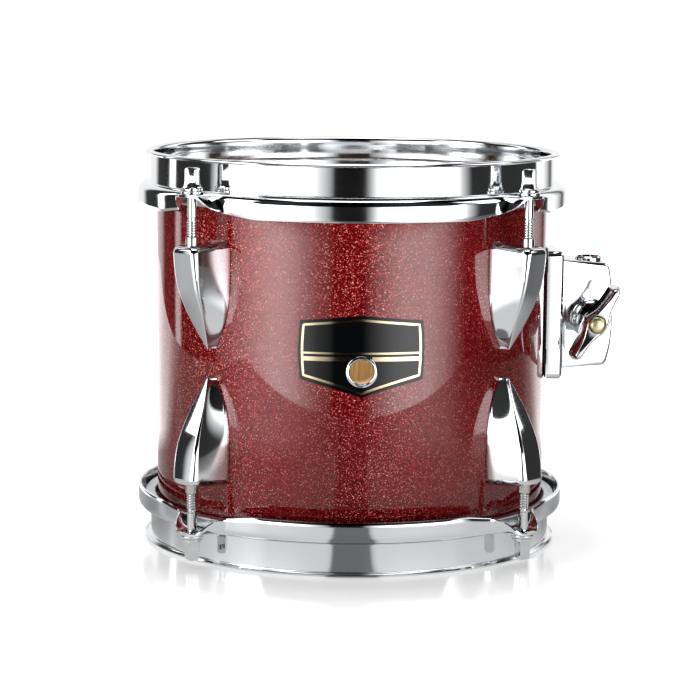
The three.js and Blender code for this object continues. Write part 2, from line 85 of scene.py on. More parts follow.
def rampNode(tree, factor, stops):
    ramp = addNode(tree, "ShaderNodeValToRGB", links={"Fac": factor})
    elements = ramp.color_ramp.elements
    while len(elements) < len(stops):
        elements.new(0.5)
    for element, (place, colour) in zip(elements, stops):
        element.position = place
        element.color = colour
    return ramp.outputs["Color"]


def grey(value):
    return (value, value, value, 1)


# Bright nickel-chrome plating over steel or zinc: a mirror, with faint polishing waves and a few smears.
def makeChrome(name, tint="E4E6E8", rough=0.05, wave=18, waveDepth=0.004):
    material, tree, shader = newMaterial(name)
    place = objectMillimetres(tree)
    smear = addNode(tree, "ShaderNodeTexNoise", {"Scale": 1 / 22, "Detail": 4.0}, {"Vector": place})
    rough = rampNode(tree, smear.outputs["Fac"], [(0.35, grey(rough)), (0.75, grey(rough + 0.05))])
    ripple = addNode(tree, "ShaderNodeTexNoise", {"Scale": 1 / wave, "Detail": 1.0}, {"Vector": place})
    bump = addNode(tree, "ShaderNodeBump", {"Strength": 1.0, "Distance": mm(waveDepth)},
                   {"Height": ripple.outputs["Fac"]})
    shader.inputs["Base Color"].default_value = hexColour(tint)
    shader.inputs["Metallic"].default_value = 1.0
    tree.links.new(rough, shader.inputs["Roughness"])
    tree.links.new(bump.outputs["Normal"], shader.inputs["Normal"])
    return material


# Sparkle drum covering: clear cellulose over deep red, filled with tiny mirror flakes. The flakes give
# pinpoints of light that stay crisp, and the cast clear face gives a soft gloss over all of it.
def makeSparkle():
    material, tree, shader = newMaterial("sparkle covering, red")
    place = objectMillimetres(tree)
    flakeSize = 0.36    # mm, drawn about twice as coarse as the real flake so that it shows
    cells = addNode(tree, "ShaderNodeTexVoronoi", {"Scale": 1 / flakeSize}, {"Vector": place})
    tilt = addNode(tree, "ShaderNodeVectorMath", {"operation": "SUBTRACT", 1: (0.5, 0.5, 0.5)},
                   {0: cells.outputs["Color"]})
    lean = addNode(tree, "ShaderNodeVectorMath", {"operation": "SCALE", "Scale": 0.62},
                   {0: tilt.outputs["Vector"]})
    geometry = addNode(tree, "ShaderNodeNewGeometry")
    leaned = addNode(tree, "ShaderNodeVectorMath", {"operation": "ADD"},
                     {0: geometry.outputs["Normal"], 1: lean.outputs["Vector"]})
    flakeNormal = addNode(tree, "ShaderNodeVectorMath", {"operation": "NORMALIZE"},
                          {0: leaned.outputs["Vector"]})
    split = addNode(tree, "ShaderNodeSeparateColor", links={"Color": cells.outputs["Color"]})
    colour = rampNode(tree, split.outputs["Red"], [
        (0.0, hexColour("4A0105")), (0.5, hexColour("6C040A")), (0.8, hexColour("8C141A")),
        (0.93, hexColour("B04844")), (1.0, hexColour("E8A298"))])
    tree.links.new(colour, shader.inputs["Base Color"])
    tree.links.new(flakeNormal.outputs["Vector"], shader.inputs["Normal"])
    tree.links.new(geometry.outputs["Normal"], shader.inputs["Coat Normal"])
    shader.inputs["Metallic"].default_value = 0.6
    shader.inputs["Roughness"].default_value = 0.36
    shader.inputs["Specular IOR Level"].default_value = 0.0
    shader.inputs["Specular Tint"].default_value = hexColour("C03030")
    shader.inputs["Coat Weight"].default_value = 1.0
    shader.inputs["Coat Roughness"].default_value = 0.03
    shader.inputs["Coat IOR"].default_value = 1.5
    return material


# Hardwood ply under a thin satin lacquer: pale warm brown, fine grain along the drum; the dark glue lines of
# the real ply are not drawn.
def makePlywood():
    material, tree, shader = newMaterial("poplar ply, lacquered")
    place = objectMillimetres(tree, (1, 1, 0.06))
    grain = addNode(tree, "ShaderNodeTexNoise", {"Scale": 1 / 1.6, "Detail": 6.0, "Distortion": 0.4},
                    {"Vector": place})
    colour = rampNode(tree, grain.outputs["Fac"], [
        (0.3, hexColour("9C7443")), (0.55, hexColour("BE945C")), (0.8, hexColour("CFA971"))])
    bump = addNode(tree, "ShaderNodeBump", {"Strength": 0.5, "Distance": mm(0.05)},
                   {"Height": grain.outputs["Fac"]})
    tree.links.new(colour, shader.inputs["Base Color"])
    tree.links.new(bump.outputs["Normal"], shader.inputs["Normal"])
    shader.inputs["Roughness"].default_value = 0.45
    return material


# Clear polyester drumhead film: nearly invisible face on, with a bright thin gloss at low angles.
def makeFilm():
    material, tree, shader = newMaterial("polyester film, clear")
    place = objectMillimetres(tree)
    haze = addNode(tree, "ShaderNodeTexNoise", {"Scale": 1 / 30, "Detail": 3.0}, {"Vector": place})
    rough = rampNode(tree, haze.outputs["Fac"], [(0.3, grey(0.0)), (0.8, grey(0.015))])
    shader.inputs["Base Color"].default_value = hexColour("E4E8E8")
    shader.inputs["IOR"].default_value = 1.62
    shader.inputs["Transmission Weight"].default_value = 1.0
    tree.links.new(rough, shader.inputs["Roughness"])
    return material


# Rolled aluminium hoop: dull silver with fine lines along the roll.
def makeAluminium():
    material, tree, shader = newMaterial("aluminium, rolled")
    place = objectMillimetres(tree, (0.05, 0.05, 1))
    lines = addNode(tree, "ShaderNodeTexNoise", {"Scale": 1 / 0.35, "Detail": 3.0}, {"Vector": place})
    rough = rampNode(tree, lines.outputs["Fac"], [(0.3, grey(0.25)), (0.8, grey(0.42))])
    bump = addNode(tree, "ShaderNodeBump", {"Strength": 0.4, "Distance": mm(0.02)},
                   {"Height": lines.outputs["Fac"]})
    shader.inputs["Base Color"].default_value = hexColour("C6C9CC")
    shader.inputs["Metallic"].default_value = 1.0
    tree.links.new(rough, shader.inputs["Roughness"])
    tree.links.new(bump.outputs["Normal"], shader.inputs["Normal"])
    return material


# Zinc-plated pressed or turned steel: grey and a little cloudy.
def makeZinc(name, tint="B4B6B6", low=0.22, high=0.4):
    material, tree, shader = newMaterial(name)
    place = objectMillimetres(tree)
    cloud = addNode(tree, "ShaderNodeTexNoise", {"Scale": 1 / 3.5, "Detail": 5.0}, {"Vector": place})
    rough = rampNode(tree, cloud.outputs["Fac"], [(0.3, grey(low)), (0.75, grey(high))])
    shader.inputs["Base Color"].default_value = hexColour(tint)
    shader.inputs["Metallic"].default_value = 1.0
    tree.links.new(rough, shader.inputs["Roughness"])
    return material


# Stove enamel on thin metal: deep black gloss with a slight orange-peel.
def makeEnamel(name, tint, rough=0.12, metallic=0.0, shine=0.5):
    material, tree, shader = newMaterial(name)
    place = objectMillimetres(tree)
    peel = addNode(tree, "ShaderNodeTexNoise", {"Scale": 1 / 1.2, "Detail": 2.0}, {"Vector": place})
    bump = addNode(tree, "ShaderNodeBump", {"Strength": 0.3, "Distance": mm(0.01)},
                   {"Height": peel.outputs["Fac"]})
    shader.inputs["Base Color"].default_value = hexColour(tint)
    shader.inputs["Metallic"].default_value = metallic
    shader.inputs["Roughness"].default_value = rough
    shader.inputs["Specular IOR Level"].default_value = shine
    tree.links.new(bump.outputs["Normal"], shader.inputs["Normal"])
    return material


# Black sheet rubber: matt, with a fine moulded grain.
def makeRubber():
    material, tree, shader = newMaterial("sheet rubber, black")
    place = objectMillimetres(tree)
    grain = addNode(tree, "ShaderNodeTexNoise", {"Scale": 1 / 0.5, "Detail": 4.0}, {"Vector": place})
    bump = addNode(tree, "ShaderNodeBump", {"Strength": 0.5, "Distance": mm(0.05)},
                   {"Height": grain.outputs["Fac"]})
    shader.inputs["Base Color"].default_value = hexColour("232325")
    shader.inputs["Roughness"].default_value = 0.7
    tree.links.new(bump.outputs["Normal"], shader.inputs["Normal"])
    return material


chrome = makeChrome("chrome plate, pressed steel")
castChrome = makeChrome("chrome plate, die cast", wave=9, waveDepth=0.006)
rodChrome = makeChrome("chrome plate, rolled thread", tint="DADCDC", rough=0.08)
sparkle = makeSparkle()
plywood = makePlywood()
film = makeFilm()
aluminium = makeAluminium()
zinc = makeZinc("zinc plate, passivated")
nickel = makeZinc("nickel plate, turned", tint="C9C7BF", low=0.12, high=0.25)
blackEnamel = makeEnamel("stove enamel, black", "08090A", rough=0.06, shine=0.3)
paleGold = makeEnamel("gold ink, fired", "BEAE90", rough=0.1, metallic=1.0)
rubber = makeRubber()
# zinc plate with a yellow passivation: a soft straw tint on the eye bolt's end
yellowZinc = makeZinc("yellow passivated steel, domed", tint="DDD3A8", low=0.3, high=0.42)
print("materials made")


def localFrame(angle, flipped=False):
    # X outward, Z up (or down for the lower head), origin on the axis at the drum's middle
    turn = Matrix.Rotation(math.radians(angle - 90), 4, "Z")
    side = Matrix.Rotation(math.pi if flipped else 0, 4, "X")
    return Matrix.Translation((0, 0, mm(midHeight))) @ turn @ side


weldGap = 0.0005    # mm
sharpAngle = 35    # degrees; flatter edges than this are shaded smooth


def solidMesh(name, vertices, faces, place):
    # points in millimetres to a closed mesh in metres, with its faces outwards
    mesh = bpy.data.meshes.new(name)
    mesh.from_pydata([tuple(mm(c) for c in v) for v in vertices], [], faces)
    mesh.transform(place)
    fixed = bmesh.new()
    fixed.from_mesh(mesh)
    bmesh.ops.remove_doubles(fixed, verts=fixed.verts, dist=mm(weldGap))
    bmesh.ops.recalc_face_normals(fixed, faces=fixed.faces)
    fixed.to_mesh(mesh)
    fixed.free()
    return mesh


def shadeSmooth(mesh, sharp):
    mesh.polygons.foreach_set("use_smooth", [True] * len(mesh.polygons))
    mesh.set_sharp_from_angle(angle=math.radians(sharp))


def addPiece(name, vertices, faces, material, body, slot, nodes, place, sharp=sharpAngle):
    mesh = solidMesh(name, vertices, faces, place)
    shadeSmooth(mesh, sharp)
    piece = bpy.data.objects.new(name, mesh)
    bpy.context.scene.collection.objects.link(piece)
    piece.data.materials.append(material)
    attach(piece, body)
    if nodes:
        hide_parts(*nodes)
    return piece


def loft(rings, closedChain=False):
    # skins a row of outlines; a closed chain joins the last to the first and needs no end faces
    count = len(rings[0])
    vertices = [point for ring in rings for point in ring]
    faces = []
    spans = len(rings) if closedChain else len(rings) - 1
    for i in range(spans):
        a, b = i * count, ((i + 1) % len(rings)) * count
        for j in range(count):
            k = (j + 1) % count
            faces.append((a + j, b + j, b + k, a + k))
    if not closedChain:
        last = (len(rings) - 1) * count
        faces.append(tuple(range(count)))
        faces.append(tuple(last + j for j in reversed(range(count))))
    return vertices, faces


def turned(profile, steps=96, axis="Z"):
    # profile of (radius, height) round Z, or round X; one that meets the axis is closed there
    rings = []
    for i in range(steps):
        a = 2 * math.pi * i / steps
        if axis == "Z":
            rings.append([(r * math.cos(a), r * math.sin(a), z) for r, z in profile])
        else:
            rings.append([(z, r * math.cos(a), r * math.sin(a)) for r, z in profile])
    return loft(rings, closedChain=True)


def roundBar(radius, low, high, steps, axis="Z"):
    return turned([(0, low), (radius, low), (radius, high), (0, high)], steps, axis)


def roundCorners(points, radius, steps=4, closed=True):
    # replaces each corner of a 2-D outline by a small arc; radius may be a list
    result = []
    count = len(points)
    for i, point in enumerate(points):
        r = radius[i] if isinstance(radius, (list, tuple)) else radius
        if r <= 0 or (not closed and i in (0, count - 1)):
            result.append(point)
            continue
        p = Vector(point)
        before = (Vector(points[i - 1]) - p)
        after = (Vector(points[(i + 1) % count]) - p)
        reach = min(r, before.length * 0.49, after.length * 0.49)
        a = p + before.normalized() * reach
        b = p + after.normalized() * reach
        for k in range(steps + 1):
            t = k / steps
            q = a * (1 - t) ** 2 + p * 2 * t * (1 - t) + b * t ** 2
            result.append((q.x, q.y))
    return result


def merged(*parts):
    vertices, faces = [], []
    for partVertices, partFaces in parts:
        start = len(vertices)
        vertices.extend(partVertices)
        faces.extend(tuple(start + i for i in face) for face in partFaces)
    return vertices, faces


def moved(part, x=0, y=0, z=0):
    return [(a + x, b + y, c + z) for a, b, c in part[0]], part[1]


def combine(piece, operation, part, place):
    # joins a closed shape to a piece or cuts it out, in the piece's own place
    mesh = solidMesh("tool", *part, place)
    other = bpy.data.objects.new("tool", mesh)
    bpy.context.scene.collection.objects.link(other)
    change = piece.modifiers.new("change", "BOOLEAN")
    change.operation = operation
    change.solver = "EXACT"
    change.object = other
    bpy.context.view_layer.update()
    evaluated = piece.evaluated_get(bpy.context.evaluated_depsgraph_get())
    result = bpy.data.meshes.new_from_object(evaluated)
    piece.modifiers.clear()
    result.name = piece.data.name
    piece.data = result
    bpy.data.objects.remove(other)
    bpy.data.meshes.remove(mesh)


def uniteWith(piece, part, place):
    combine(piece, "UNION", part, place)


def cutBy(piece, *parts):
    for vertices, faces, place in parts:
        combine(piece, "DIFFERENCE", (vertices, faces), place)
    shadeSmooth(piece.data, sharpAngle)


def hole(radius, start, end, angle, height=0, steps=32):
    # a radial hole cutter through the shell, at an angle round the drum
    tube = moved(roundBar(radius, start, end, steps, "X"), z=height)
    return (*tube, localFrame(angle))


centre = localFrame(90)


shell = dict(inner=94.4, outer=100.4, bearing=99.4, edge=0.3, bevel=5.0, wrapInner=100.55, wrapOuter=101.1,
             wrapHalf=86.5, ventRadius=6.85, screwRadius=2.8, steps=192)


def makeShell():
    half = drum["shellHalf"]
    inner, outer, bearing = shell["inner"], shell["outer"], shell["bearing"]
    edge = shell["edge"]
    upper = [(inner, half - shell["bevel"]), (bearing - edge, half), (bearing + edge, half),
             (outer, half - 0.9)]
    lower = [(r, -z) for r, z in reversed(upper)]
    profile = roundCorners(upper + lower, edge, 2)
    piece = addPiece("shell_ply", *turned(profile, shell["steps"]), plywood, "drum", "shell_wood", ["shell"],
                     centre)
    cutBy(piece, hole(shell["ventRadius"], 90, 106, 0))
    print("shell done")


def makeWrap():
    half = shell["wrapHalf"]
    inner, outer = shell["wrapInner"], shell["wrapOuter"]
    profile = roundCorners([(inner, half), (outer, half), (outer, -half), (inner, -half)], 0.15, 2)
    piece = addPiece("covering_sparkle", *turned(profile, shell["steps"]), sparkle, "drum", "sparkle_wrap",
                     ["shell_wrap"], centre)
    cutBy(piece, hole(shell["ventRadius"], 90, 106, 0))
    print("covering done")


head = dict(film=0.35, collar=101.3, under=89.12, collarEnd=80.5)
fleshHoop = dict(inner=102.0, outer=107.6, top=82.85, height=5.4, corner=1.1)


def makeHeads():
    for side, flipped in (("batter", False), ("resonant", True)):
        place = localFrame(90, flipped)
        t = head["film"]
        collar, under = head["collar"], head["under"]
        profile = [(0, under), (40, under), (90, under), (98.4, under - 0.02), (99.9, under - 0.1),
                   (100.8, under - 0.8), (collar, under - 2.0), (collar, head["collarEnd"]),
                   (collar + t, head["collarEnd"]), (collar + t, under - 1.6), (101.1, under - 0.35),
                   (100.2, under + t - 0.05), (98.4, under + t), (90, under + t), (40, under + t),
                   (0, under + t)]
        addPiece(f"{side}_film", *turned(profile, shell["steps"]), film, "drum", "drumhead_film",
                 [f"{side}_head_film"], place, sharp=60)
        h = fleshHoop
        low = h["top"] - h["height"]
        section = [(h["inner"], low), (h["outer"], low), (h["outer"], h["top"]), (h["inner"], h["top"])]
        channel = turned(roundCorners(section, h["corner"], 4), shell["steps"])
        addPiece(f"{side}_hoop_channel", *channel, aluminium, "drum", "flesh_hoop_aluminium",
                 [f"{side}_flesh_hoop"], place)
    print("heads done")


hoop = dict(sheet=1.6, wall=103.7, ledge=83.85, rim=101.25, foldStart=107.0, foldArc=5.0,
            lip=(107.0, 106.3, 0.75), bends=(0, 0.7, 2.4, 2.4, 0), holeRadius=3.2,
            earTotal=15.4, neckTotal=10.1, skirtTotal=12.42,    # sheet from the fold to the free edge
            foldFrom=(5, 12), narrowFrom=(2, 12), widenFrom=(12, 22),    # start and length along the hoop
            steps=720, plainFrom=36, plainStride=4)    # fewer sections between the ears


def smooth(value):
    value = min(max(value, 0), 1)
    return value * value * (3 - 2 * value)


def shareAlong(arc, part):
    start, length = hoop[part]
    return smooth((abs(arc) - start) / length)


def hoopMidline(arc):
    # the sheet's middle line from the rolled rim to the free edge, at a distance along from a rod
    fold = max(math.pi / 2 * shareAlong(arc, "foldFrom"), 0.001)
    total = hoop["earTotal"] - (hoop["earTotal"] - hoop["neckTotal"]) * shareAlong(arc, "narrowFrom")
    total += (hoop["skirtTotal"] - hoop["neckTotal"]) * shareAlong(arc, "widenFrom")
    rim = hoop["rim"] - hoop["sheet"] / 2
    wall, ledge = hoop["wall"], hoop["ledge"]
    lipEnd, lipTurn, lipDrop = hoop["lip"]
    top = roundCorners([(lipEnd, rim - lipDrop), (lipTurn, rim), (wall, rim), (wall, ledge),
                        (hoop["foldStart"], ledge)], hoop["bends"], 6, closed=False)
    steps = 8
    for k in range(1, steps + 1):
        turn = fold * k / steps
        top.append((hoop["foldStart"] + hoop["foldArc"] * math.sin(turn) / fold,
                    ledge - hoop["foldArc"] * (1 - math.cos(turn)) / fold))
    x, y = top[-1]
    flange = total - hoop["foldArc"]
    for k in range(1, 4):
        top.append((x + flange * k / 3 * math.cos(fold), y - flange * k / 3 * math.sin(fold)))
    return top


def sheetSection(line, thickness):
    left, right = [], []
    for i, (x, y) in enumerate(line):
        a = Vector((x, y)) - Vector(line[i - 1]) if i > 0 else None
        b = Vector(line[i + 1]) - Vector((x, y)) if i < len(line) - 1 else None
        a = a or b
        b = b or a
        a, b = a.normalized(), b.normalized()
        along = (a + b).normalized()
        reach = thickness / 2 / max(along.dot(a), 0.3)
        left.append((x - along.y * reach, y + along.x * reach))
        right.append((x + along.y * reach, y - along.x * reach))
    # both raw edges are a little rounded
    for edge, inward in ((0, 1), (-1, -2)):
        middle = Vector(line[edge])
        step = (Vector(line[inward]) - middle).normalized() * 0.35
        for sideLine in (left, right):
            corner = Vector(sideLine[edge])
            eased = (corner + (middle - corner) * 0.3, corner + step)
            if edge == 0:
                sideLine[0:1] = [tuple(eased[0]), tuple(eased[1])]
            else:
                sideLine[-1:] = [tuple(eased[1]), tuple(eased[0])]
    return left + list(reversed(right))


def makeHoops():
    for side, flipped in (("batter", False), ("resonant", True)):
        rings = []
        for i in range(hoop["steps"]):
            angle = 360 * i / hoop["steps"]
            offset = (angle - 45) % 90
            offset = offset - 90 if offset > 45 else offset
            arc = math.radians(offset) * hoop["foldStart"]
            if abs(arc) > hoop["plainFrom"] and i % hoop["plainStride"]:
                continue
            a = math.radians(angle - 90)
            section = sheetSection(hoopMidline(arc), hoop["sheet"])
            rings.append([(r * math.cos(a), r * math.sin(a), z) for r, z in section])
        piece = addPiece(f"{side}_counter_hoop", *loft(rings, closedChain=True), chrome, "drum",
                         "hoop_chrome", [f"{side}_hoop"], localFrame(90, flipped), sharp=40)
        cutters = []
        for angle in drum["lugAngles"]:
            part = roundBar(hoop["holeRadius"], 76, 92, 24)
            cutters.append((*moved(part, x=drum["rodCircle"]), localFrame(angle, flipped)))
        cutBy(piece, *cutters)
    print("counter hoops done")


rod = dict(tip=43.75, threadTop=73.55, seat=86.25, collarTop=88.15, keyTop=97.65, thread=2.7, root=2.05,
           shank=2.45, collar=5.2, square=5.7, keyTurn=20, pitch=1.3)
# the pitch is drawn coarser than the real 1.06 mm, so that the thread shows


def threadPart(radius, root, low, high, pitch, steps=20):
    # a real helix: one long ridge wound round the core
    turns = (high - low) / pitch
    count = int(turns * steps)
    vertices, faces = [], []
    for i in range(count + 1):
        a = 2 * math.pi * i / steps
        z = low + pitch * i / steps
        grow = smooth(min(i, count - i) / steps)
        crest = root + (radius - root) * grow
        for r, dz in ((root, -0.5), (crest, -0.12), (crest, 0.12), (root, 0.5)):
            vertices.append((r * math.cos(a), r * math.sin(a), z + dz * pitch * 0.98))
    for i in range(count):
        for j in range(3):
            a, b = i * 4 + j, (i + 1) * 4 + j
            faces.append((a, a + 1, b + 1, b))
        faces.append((i * 4 + 3, i * 4, (i + 1) * 4, (i + 1) * 4 + 3))
    faces.append((0, 1, 2, 3))
    end = count * 4
    faces.append((end + 3, end + 2, end + 1, end))
    return vertices, faces


def squareRing(half, corner, z, steps=3):
    outline = roundCorners([(half, -half), (half, half), (-half, half), (-half, -half)], corner, steps)
    return [(x, y, z) for x, y in outline]


def makeRod(name, node, body, place):
    core = turned([(0, rod["tip"]), (rod["root"] - 0.7, rod["tip"]), (rod["root"], rod["tip"] + 0.8),
                   (rod["root"], rod["threadTop"] - 0.3), (rod["shank"], rod["threadTop"]),
                   (rod["shank"], rod["seat"] - 0.8), (rod["shank"] + 0.4, rod["seat"]),
                   (rod["collar"] - 0.4, rod["seat"]), (rod["collar"], rod["seat"] + 0.4),
                   (rod["collar"], rod["collarTop"] - 0.9), (rod["collar"] - 0.5, rod["collarTop"] - 0.3),
                   (rod["collar"] - 1.4, rod["collarTop"]), (0, rod["collarTop"])], 32)
    ridge = threadPart(rod["thread"], rod["root"] - 0.02, rod["tip"] + 1.2, rod["threadTop"] - 0.8,
                       rod["pitch"])
    half = rod["square"] / 2
    base, top = rod["collarTop"] - 0.3, rod["keyTop"]
    key = loft([squareRing(half + 1.0, 1.6, base), squareRing(half + 0.55, 1.2, base + 0.8),
                squareRing(half + 0.2, 0.7, base + 2.0), squareRing(half, 0.5, base + 3.6),
                squareRing(half, 0.5, top - 1.1), squareRing(half - 0.3, 0.8, top - 0.4),
                squareRing(half - 0.9, 1.1, top)])
    turn = Matrix.Rotation(math.radians(rod["keyTurn"]), 3, "Z")
    key = ([tuple(turn @ Vector(v)) for v in key[0]], key[1])
    part = moved(merged(core, ridge, key), x=drum["rodCircle"])
    addPiece(name, *part, rodChrome, body, "rod_chrome", [node], place, sharp=24)


washer = dict(bore=2.9, outer=5.8, bottom=84.75, top=86.15)


def ringSection(sizes, corner=0.35):
    return roundCorners([(sizes["bore"], sizes["bottom"]), (sizes["outer"], sizes["bottom"]),
                         (sizes["outer"], sizes["top"]), (sizes["bore"], sizes["top"])], corner, 3)


def makeWasher(name, node, body, place):
    part = moved(turned(ringSection(washer), 40), x=drum["rodCircle"])
    addPiece(name, *part, rodChrome, body, "rod_chrome", [node], place)


swivel = dict(bore=2.8, body=3.3, flange=4.3, bottom=45.5, shoulder=50, neck=54.4, top=63.6)


def makeSwivelNut(name, node, place):
    bore, body, flange = swivel["bore"], swivel["body"], swivel["flange"]
    section = roundCorners([(bore, swivel["bottom"]), (body, swivel["bottom"]), (body, swivel["shoulder"]),
                            (flange, swivel["shoulder"]), (flange, swivel["neck"]), (body, swivel["neck"]),
                            (body, swivel["top"]), (bore, swivel["top"])], 0.25, 3)
    part = moved(turned(section, 40), x=drum["rodCircle"])
    addPiece(name, *part, nickel, "drum", "nickel_steel", [node], place)


lug = dict(top=60.6, length=53.6, base=101.3, reach=22.6, edge=3.9, rim=3.4, wall=1.6, mouth=3.9,
           foot=(10.4, 54.5, 4.2, 2.0), front=(8.3, 54.2, 2.3, 0.5),    # half width, length, curve, least
           slope=(0.115, 0.38), bend=22.5, softness=4, flare=1.2, lean=(0.6, 1.9, 25))


def lugDepth(drop):
    # steep below the top, then an even slope in to a blunt tip
    upper, added = lug["slope"]
    soft = lug["softness"]
    bend = soft * math.log(1 + math.exp((drop - lug["bend"]) / soft))
    return lug["reach"] - upper * drop - added * bend


def lugHalf(part, drop):
    half, length, curve, least = lug[part]
    return max(half * (1 - (drop / length) ** curve), least)


def lugRing(drop, wall, inset=0.0):
    baseHalf = lugHalf("foot", drop) - wall - inset
    frontHalf = lugHalf("front", drop) - wall - inset
    if wall > 0:
        frontHalf = max(frontHalf, 0.8)
        baseHalf = max(baseHalf, frontHalf)
    depth = lugDepth(drop) - wall - inset
    edge = max(min(lug["edge"] * max(1 - drop / 44, 0.1), frontHalf * 0.9), 0.15)
    back = lug["base"] - 2 - wall
    front = lug["base"] + depth - edge
    outline = []
    sideSteps = 12
    for k in range(sideSteps + 1):
        # the side is hollow: it spreads to a foot at the shell and stands nearly straight at the front
        x = back + (front - back) * k / sideSteps
        share = min(max(x - lug["base"], 0) / max(depth - edge, 0.1), 1)
        outline.append((x, frontHalf + (baseHalf - frontHalf) * (1 - share) ** lug["flare"]))
    x0, y0 = outline[-1]
    for k in range(1, 8):
        a = math.pi / 2 * k / 7
        outline.append((x0 + edge * math.sin(a), y0 - edge * (1 - math.cos(a))))
    whole = outline + [(x, -y) for x, y in reversed(outline)]
    # the flat top falls a little towards the front
    rise, fallen, length = lug["lean"]
    fade = max(1 - drop / length, 0)
    lean = [rise - fallen * min(max(x - lug["base"], 0) / depth, 1) for x, y in whole]
    return [(x, y, lug["top"] - drop + fall * fade) for (x, y), fall in zip(whole, lean)]


def makeLug(name, node, place):
    rim, length = lug["rim"], lug["length"]
    drops = [0, 0.06, 0.25, 0.55, 0.95, 1.45, 2.0, rim, 3.6, 5, 7] + [9 + 2.2 * k for k in range(19)] + \
            [50.2, 51.4, 52.3, 52.9, 53.3, 53.5, length]

    def inset(drop):
        if drop < rim:
            return rim - math.sqrt(rim ** 2 - (rim - drop) ** 2)
        low = max(drop - (length - 0.5), 0)
        return 0.5 - math.sqrt(max(0.25 - low ** 2, 0)) if low > 0 else 0

    outer = loft([lugRing(drop, 0, inset(drop)) for drop in drops])
    inner = loft([lugRing(drop, lug["wall"]) for drop in (3, 6, 9, 13, 17, 21, 25, 29, 33, 37, 42)])
    mouth = moved(roundBar(lug["mouth"], 50, 66, 32), x=drum["rodCircle"])
    shellShape = roundBar(lug["base"], 0, 70, shell["steps"])
    piece = addPiece(name, *outer, castChrome, "drum", "lug_chrome", [node], place, sharp=50)
    cutBy(piece, (*inner, place), (*mouth, place), (*shellShape, place))


def makeTuning():
    for side, flipped in (("batter", False), ("resonant", True)):
        for i, angle in enumerate(drum["lugAngles"]):
            number = i + 1
            place = localFrame(angle, flipped)
            makeRod(f"{side}_rod_{number}_threaded", f"{side}_tension_rod_{number}",
                    f"{side}_rod_{number}", place)
            makeWasher(f"{side}_washer_{number}_round", f"{side}_rod_washer_{number}",
                       f"{side}_washer_{number}", place)
            makeSwivelNut(f"{side}_swivel_{number}_turned", f"{side}_swivel_nut_{number}", place)
            makeLug(f"{side}_lug_{number}_cast", f"{side}_lug_{number}", place)
            makeLugScrews(f"{side}_lug_{number}", place)
    print("rods and lugs done")


# Two round-headed screws with washers hold each lug from inside the shell.
lugScrew = dict(heights=(18.0, 47.0), head=4.2, rise=2.6, washer=6.0, washerThick=0.9)
crossSlot = ((2.3, 0.45), (0.45, 2.3))    # half lengths of the two slots in a screw's head


def crossCutters(start, end, height, place):
    cutters = []
    for long, wide in crossSlot:
        ring = [(-long, -wide), (long, -wide), (long, wide), (-long, wide)]
        part = loft([[(start, x, y + height) for x, y in ring],
                     [(end, x * 0.8, y * 0.8 + height) for x, y in ring]])
        cutters.append((*part, place))
    return cutters


def makeLugScrews(name, place):
    parts = []
    inner = shell["inner"] - 0.12
    for height in lugScrew["heights"]:
        face = inner - lugScrew["washerThick"]
        ring = roundCorners([(0.5, face), (lugScrew["washer"], face), (lugScrew["washer"], inner - 0.1),
                             (0.5, inner - 0.1)], 0.2, 2)
        dome = [(0, face - lugScrew["rise"]), (1.8, face - lugScrew["rise"] + 0.1),
                (3.2, face - lugScrew["rise"] + 0.6), (4.0, face - 1.1), (lugScrew["head"], face - 0.3),
                (lugScrew["head"] - 0.2, face), (0, face)]
        parts.append(moved(turned(ring, 32, "X"), z=height))
        parts.append(moved(turned(dome, 32, "X"), z=height))
    piece = addPiece(f"{name}_screws", *merged(*parts), zinc, "drum", "zinc_steel", (), place)
    slots = []
    for height in lugScrew["heights"]:
        face = inner - lugScrew["washerThick"] - lugScrew["rise"]
        slots += crossCutters(face - 1, face + 1.5, height, place)
    cutBy(piece, *slots)


badge = dict(inner=101.25, outer=101.9, halfWidth=30.9, shoulder=24.7, peak=27.3, hip=-4.2, tip=-13.0,
             bulge=0.9, lineInset=2.0, lineWidth=1.15, lineRise=0.06,
             stripe=(8.95, 0.95), split=(6.15, 2.1))    # height and width of the two stripes
vent = dict(bore=5.9, tube=6.5, flange=7.8, inside=91.6, seat=101.9, face=103.4)
ventRing = dict(bore=6.9, outer=8.2, bottom=92.4, top=93.8)


def badgeEdges(share, inset=0.0):
    # lower and upper outline at a share of the half width
    s = abs(share)
    top = badge["peak"] + (badge["shoulder"] - badge["peak"]) * s - inset
    bottom = badge["tip"] + (badge["hip"] - badge["tip"]) * s ** 0.85 + inset * 1.05
    return bottom, top


def badgePoint(share, height, inset=0.0):
    # the sides bow out a little between the corners
    low, high = badge["hip"], badge["shoulder"]
    level = min(max((height - low) / (high - low), 0), 1)
    width = badge["halfWidth"] - badge["bulge"] * 0.5 - inset + badge["bulge"] * math.sin(math.pi * level)
    return share * width, height


def onShell(across, height, radius):
    a = across / badge["outer"]
    return (radius * math.cos(a), radius * math.sin(a), height)


def badgeSheet(shares, edges, inner, outer):
    # a thin curved plate between two height functions
    rows = 10
    front, back = [], []
    for share in shares:
        low, high = edges(share)
        column = [badgePoint(share, low + (high - low) * k / rows) for k in range(rows + 1)]
        front.append([onShell(x, z, outer) for x, z in column])
        back.append([onShell(x, z, inner) for x, z in reversed(column)])
    return loft([f + b for f, b in zip(front, back)])


def strip(points, width, radius, thick):
    # a raised line of even width along a path of (across, height)
    rings = []
    count = len(points)
    for i, (x, z) in enumerate(points):
        a = Vector(points[max(i - 1, 0)])
        b = Vector(points[min(i + 1, count - 1)])
        along = (b - a).normalized()
        side = Vector((-along.y, along.x)) * width / 2
        left, right = Vector((x, z)) + side, Vector((x, z)) - side
        rings.append([onShell(left.x, left.y, radius - 0.1), onShell(left.x, left.y, radius + thick),
                      onShell(right.x, right.y, radius + thick), onShell(right.x, right.y, radius - 0.1)])
    return loft(rings)


